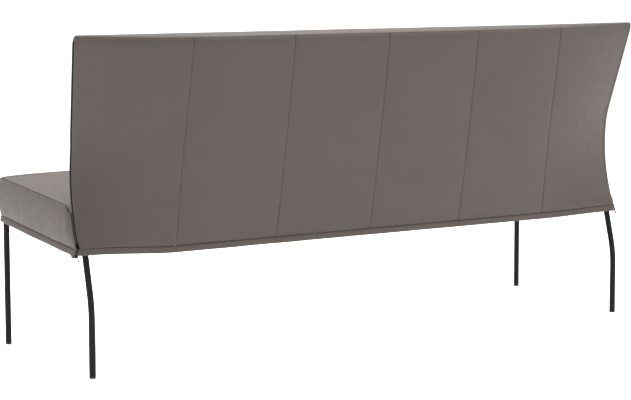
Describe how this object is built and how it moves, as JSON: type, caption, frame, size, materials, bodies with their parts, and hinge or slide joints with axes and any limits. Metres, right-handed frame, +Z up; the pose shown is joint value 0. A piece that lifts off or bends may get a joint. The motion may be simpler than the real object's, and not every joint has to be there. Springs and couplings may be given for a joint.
{
  "type": "dining sofa",
  "caption": "Armless upholstered dining sofa with a slanted full-width back in sewn panels, zips up its end edges and slim round legs.",
  "frame": {"origin": "on the floor, under the middle of the sofa's box", "axes": "+X along the length, +Y to the rear, +Z up; left is -X and right is +X, seen from the front"},
  "size_m": [1.8282, 0.6408, 0.89],
  "materials": {
    "cover": "smooth taupe faux leather with a fine grain",
    "wood": "sawn beech and plywood, untreated",
    "foam": "polyurethane foam and wadding",
    "springs": "oiled spring wire",
    "fixings": "zinc plated steel",
    "felt": "grey needle felt",
    "dust_cloth": "black non-woven cloth",
    "strap": "black elastic webbing",
    "leg": "satin black powder coat",
    "glide": "black plastic",
    "zip": "black coil zip on black tape",
    "zip_metal": "black lacquered metal"
  },
  "bodies": {
    "root": {"rear_panel_1": "cover", "rear_panel_2": "cover", "rear_panel_3": "cover", "rear_panel_4": "cover", "rear_panel_5": "cover", "rear_panel_6": "cover", "rear_hem": "cover", "back_front_cover": "cover", "seat_hem": "cover", "seat_top_cover": "cover", "seat_side_cover_left": "cover", "seat_side_cover_right": "cover", "seat_front_rail": "wood", "seat_rear_rail": "wood", "seat_side_rail_left": "wood", "seat_side_rail_right": "wood", "seat_stretcher_left": "wood", "seat_stretcher_right": "wood", "seat_corner_blocks": "wood", "back_bottom_rail": "wood", "back_middle_rail": "wood", "back_top_rail": "wood", "back_side_board_left": "wood", "back_side_board_right": "wood", "back_post_left": "wood", "back_post_middle": "wood", "back_post_right": "wood", "seat_foam": "foam", "seat_border_padding": "foam", "back_foam": "foam", "back_rear_padding": "foam", "seat_springs": "springs", "seat_spring_clips": "fixings", "back_brackets": "fixings", "back_bolts": "fixings", "leg_bolts": "fixings", "seat_felt": "felt", "seat_dust_cover": "dust_cloth", "back_straps": "strap", "leg_front_left": "leg", "leg_front_right": "leg", "leg_rear_left": "leg", "leg_rear_right": "leg", "leg_plate_front_left": "leg", "leg_plate_front_right": "leg", "leg_plate_rear_left": "leg", "leg_plate_rear_right": "leg", "glide_front_left": "glide", "glide_front_right": "glide", "glide_rear_left": "glide", "glide_rear_right": "glide", "zip_left": "zip", "zip_right": "zip"},
    "slider_left": {"zip_slider_left": "zip_metal"},
    "pull_left": {"zip_pull_left": "zip_metal"},
    "slider_right": {"zip_slider_right": "zip_metal"},
    "pull_right": {"zip_pull_right": "zip_metal"}
  },
  "joints": [
    {"name": "zip_travel_left", "type": "hinge", "parent": "root", "child": "slider_left", "pos_m": [-0.891, 0.607, 0.522], "axis": [-1, 0, 0], "range_deg": [0, 32.5]},
    {"name": "pull_swing_left", "type": "hinge", "parent": "slider_left", "child": "pull_left", "pos_m": [-0.8942, 0.20417, 0.345], "axis": [0, 0.9155, 0.4023], "range_deg": [0, 170]},
    {"name": "zip_travel_right", "type": "hinge", "parent": "root", "child": "slider_right", "pos_m": [0.891, 0.607, 0.522], "axis": [-1, 0, 0], "range_deg": [0, 32.5]},
    {"name": "pull_swing_right", "type": "hinge", "parent": "slider_right", "child": "pull_right", "pos_m": [0.8942, 0.20417, 0.345], "axis": [0, -0.9155, -0.4023], "range_deg": [0, 170]}
  ]
}
